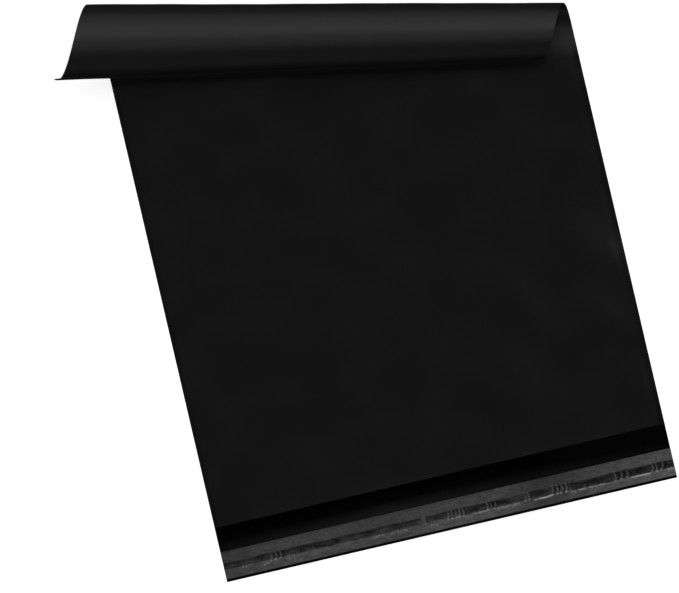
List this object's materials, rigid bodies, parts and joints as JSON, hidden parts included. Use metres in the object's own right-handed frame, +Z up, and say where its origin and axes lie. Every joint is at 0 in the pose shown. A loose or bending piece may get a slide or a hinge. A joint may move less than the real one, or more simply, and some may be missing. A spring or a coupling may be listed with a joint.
{
  "type": "poly mailer bag",
  "caption": "Flat film mailing bag with side welds, a closing flap with adhesive under a release liner, and its closed end rolled up.",
  "frame": {"origin": "on the underside of the flat part, at mid width and half way from the flap's edge to where the roll starts", "axes": "+X across the bag, +Y along the bag from the flap towards the roll, +Z up out of the front panel"},
  "size_m": [0.447, 0.5138, 0.0662],
  "materials": {
    "black_film": "blown polyethylene film, opaque black, with a soft satin sheen",
    "adhesive": "hot-melt adhesive line, dark and wet-looking through the liner",
    "liner_film": "thin see-through release film, greyish over the black flap"
  },
  "bodies": {
    "root": {"film_envelope": "black_film", "adhesive_strip": "adhesive", "release_liner": "liner_film"}
  },
  "joints": []
}
